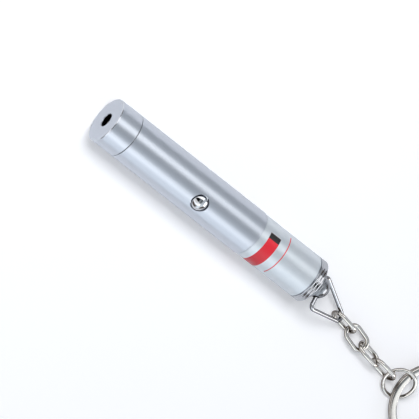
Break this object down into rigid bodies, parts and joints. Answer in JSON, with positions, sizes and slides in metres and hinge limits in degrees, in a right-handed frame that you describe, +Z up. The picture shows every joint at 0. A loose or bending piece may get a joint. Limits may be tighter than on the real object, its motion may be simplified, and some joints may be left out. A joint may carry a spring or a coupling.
{
  "type": "laser pointer",
  "caption": "Pocket laser pointer: turned metal tube with a screwed nose cap and battery sleeve, domed push button, wire bail, short link chain and split key ring.",
  "frame": {"origin": "centre of the beam aperture in the nose face", "axes": "+X from the nose face along the barrel's axis to the tail, +Z up away from the surface it lies on, -X the way the beam leaves"},
  "size_m": [0.1477, 0.027, 0.0143],
  "materials": {
    "satin_aluminium": "satin anodised",
    "chrome_plate": "polished chrome plate",
    "nickel_wire": "bright nickel plate",
    "foil": "metallised film with a red band",
    "brass": "turned",
    "gold_plate": "gold plated",
    "contact_brass": "bright",
    "clear_glass": "polished",
    "lens_glass": "polished and coated",
    "spring_steel": "drawn wire",
    "green_board": "solder mask",
    "black_package": "moulded",
    "resistor": "glazed",
    "capacitor": "moulded",
    "white_plastic": "moulded",
    "cell_steel": "nickel plated can"
  },
  "bodies": {
    "barrel": {"main_barrel": "satin_aluminium", "laser_housing": "brass", "lens_retainer": "brass", "collimating_lens": "lens_glass", "focus_spring": "spring_steel", "laser_diode": "gold_plate", "diode_pins": "gold_plate", "circuit_board": "green_board", "driver_chip": "black_package", "bias_resistors": "resistor", "filter_capacitor": "capacitor", "board_carrier": "white_plastic", "switch_body": "black_package", "spring_plate": "contact_brass", "battery_spring": "spring_steel"},
    "window_pack": {"protective_window": "clear_glass"},
    "nose_cap": {"nose_cap": "satin_aluminium"},
    "cell_pack": {"button_cell_1": "cell_steel", "button_cell_2": "cell_steel", "button_cell_3": "cell_steel"},
    "battery_sleeve": {"battery_sleeve": "satin_aluminium", "foil_label": "foil", "tail_contact": "contact_brass", "tail_cap": "chrome_plate"},
    "button": {"push_button": "chrome_plate"},
    "plunger": {"switch_plunger": "white_plastic"},
    "bail": {"wire_bail": "nickel_wire"},
    "link_1": {"chain_link_1": "nickel_wire"},
    "link_2": {"chain_link_2": "nickel_wire"},
    "link_3": {"chain_link_3": "nickel_wire"},
    "link_4": {"chain_link_4": "nickel_wire"},
    "jump_ring_body": {"jump_ring": "nickel_wire"},
    "key_ring": {"split_ring": "nickel_wire"}
  },
  "joints": [
    {"name": "window_advance", "type": "slide", "parent": "barrel", "child": "window_pack", "axis": [-1, 0, 0], "range_m": [0, 0.0045]},
    {"name": "nose_cap_turn", "type": "hinge", "parent": "window_pack", "child": "nose_cap", "pos_m": [0, 0, 0], "axis": [-1, 0, 0], "range_deg": [0, 2160]},
    {"name": "cell_advance", "type": "slide", "parent": "barrel", "child": "cell_pack", "axis": [1, 0, 0], "range_m": [0, 0.0045]},
    {"name": "sleeve_turn", "type": "hinge", "parent": "cell_pack", "child": "battery_sleeve", "pos_m": [0.06, 0, 0], "axis": [1, 0, 0], "range_deg": [0, 2160]},
    {"name": "button_press", "type": "slide", "parent": "barrel", "child": "button", "axis": [0, 0.3256, -0.9455], "range_m": [0, 0.0005], "stiffness_N_per_m": 800},
    {"name": "plunger_press", "type": "slide", "parent": "barrel", "child": "plunger", "axis": [0, 0.3256, -0.9455], "range_m": [0, 0.0005]},
    {"name": "bail_swing", "type": "hinge", "parent": "battery_sleeve", "child": "bail", "pos_m": [0.0834, 0, 0], "axis": [0, -0.9135, 0.4067], "range_deg": [-80, 120]},
    {"name": "link_1_swing", "type": "hinge", "parent": "bail", "child": "link_1", "pos_m": [0.09604, -0.00317, -0.00418], "axis": [0, 0.9135, -0.4067], "range_deg": [-50, 50]},
    {"name": "link_2_swing", "type": "hinge", "parent": "link_1", "child": "link_2", "pos_m": [0.10157, -0.00405, -0.0043], "axis": [0.0181, 0.0674, 0.9976], "range_deg": [-60, 60]},
    {"name": "link_3_swing", "type": "hinge", "parent": "link_2", "child": "link_3", "pos_m": [0.10776, -0.00571, -0.00464], "axis": [0.1319, 0.833, 0.5373], "range_deg": [-50, 50]},
    {"name": "link_4_swing", "type": "hinge", "parent": "link_3", "child": "link_4", "pos_m": [0.11396, -0.00669, -0.0045], "axis": [-0.1097, -0.7803, 0.6157], "range_deg": [-55, 55]},
    {"name": "jump_ring_swing", "type": "hinge", "parent": "link_4", "child": "jump_ring_body", "pos_m": [0.11839, -0.00767, -0.0045], "axis": [0.0523, -0.9986, 0], "range_deg": [-60, 60]},
    {"name": "split_ring_swing", "type": "hinge", "parent": "jump_ring_body", "child": "key_ring", "pos_m": [0.12301, -0.00743, -0.00456], "axis": [-1, 0, 0], "range_deg": [0, 120]}
  ],
  "couplings": [
    {"joint": "nose_cap_turn", "follows": "window_advance", "rad_per_m": 8377.6},
    {"joint": "sleeve_turn", "follows": "cell_advance", "rad_per_m": 8377.6},
    {"joint": "plunger_press", "follows": "button_press", "ratio": 1}
  ]
}
